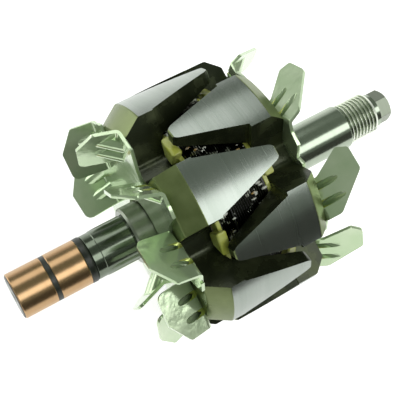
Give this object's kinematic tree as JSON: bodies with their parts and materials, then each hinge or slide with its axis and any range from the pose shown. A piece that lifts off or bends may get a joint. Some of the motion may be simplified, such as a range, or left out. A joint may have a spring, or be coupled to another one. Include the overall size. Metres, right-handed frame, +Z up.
{
  "type": "claw-pole generator rotor",
  "caption": "Claw-pole generator rotor: shaft with threaded drive end, interleaved steel claws round a coil, a pressed fan on each side, and copper slip rings at the other end",
  "frame": {"origin": "on the shaft axis at the shoulder that the drive-end bearing seats against", "axes": "+X along the shaft toward the threaded drive end, +Z up as the rotor lies"},
  "size_m": [0.155, 0.0889, 0.0885],
  "materials": {
    "shaft": "turned steel",
    "front_claw_pole": "forged steel, turned outside",
    "rear_claw_pole": "forged steel, turned outside",
    "pole_core": "plain steel",
    "bobbin": "moulded",
    "field_winding": "varnished copper wire, black",
    "coil_tape": "resin-soaked tape",
    "rear_insulator": "pressed paper",
    "front_insulator": "pressed paper",
    "front_fan": "zinc-plated sheet, glossy",
    "rear_fan": "zinc-plated sheet, glossy",
    "slip_ring_moulding": "moulded",
    "outer_slip_ring": "turned copper",
    "inner_slip_ring": "turned copper",
    "spacer_ring": "turned steel",
    "lead_outer": "enamelled copper",
    "lead_inner": "enamelled copper",
    "sleeve_outer": "varnished sleeve",
    "sleeve_inner": "varnished sleeve",
    "lead_cover": "resin strip"
  },
  "bodies": {
    "root": {"shaft": "shaft", "front_claw_pole": "front_claw_pole", "rear_claw_pole": "rear_claw_pole", "pole_core": "pole_core", "bobbin": "bobbin", "field_winding": "field_winding", "coil_tape": "coil_tape", "rear_insulator": "rear_insulator", "front_insulator": "front_insulator", "front_fan": "front_fan", "rear_fan": "rear_fan", "slip_ring_moulding": "slip_ring_moulding", "outer_slip_ring": "outer_slip_ring", "inner_slip_ring": "inner_slip_ring", "spacer_ring": "spacer_ring", "lead_outer": "lead_outer", "lead_inner": "lead_inner", "sleeve_outer": "sleeve_outer", "sleeve_inner": "sleeve_inner", "lead_cover": "lead_cover"}
  },
  "joints": []
}
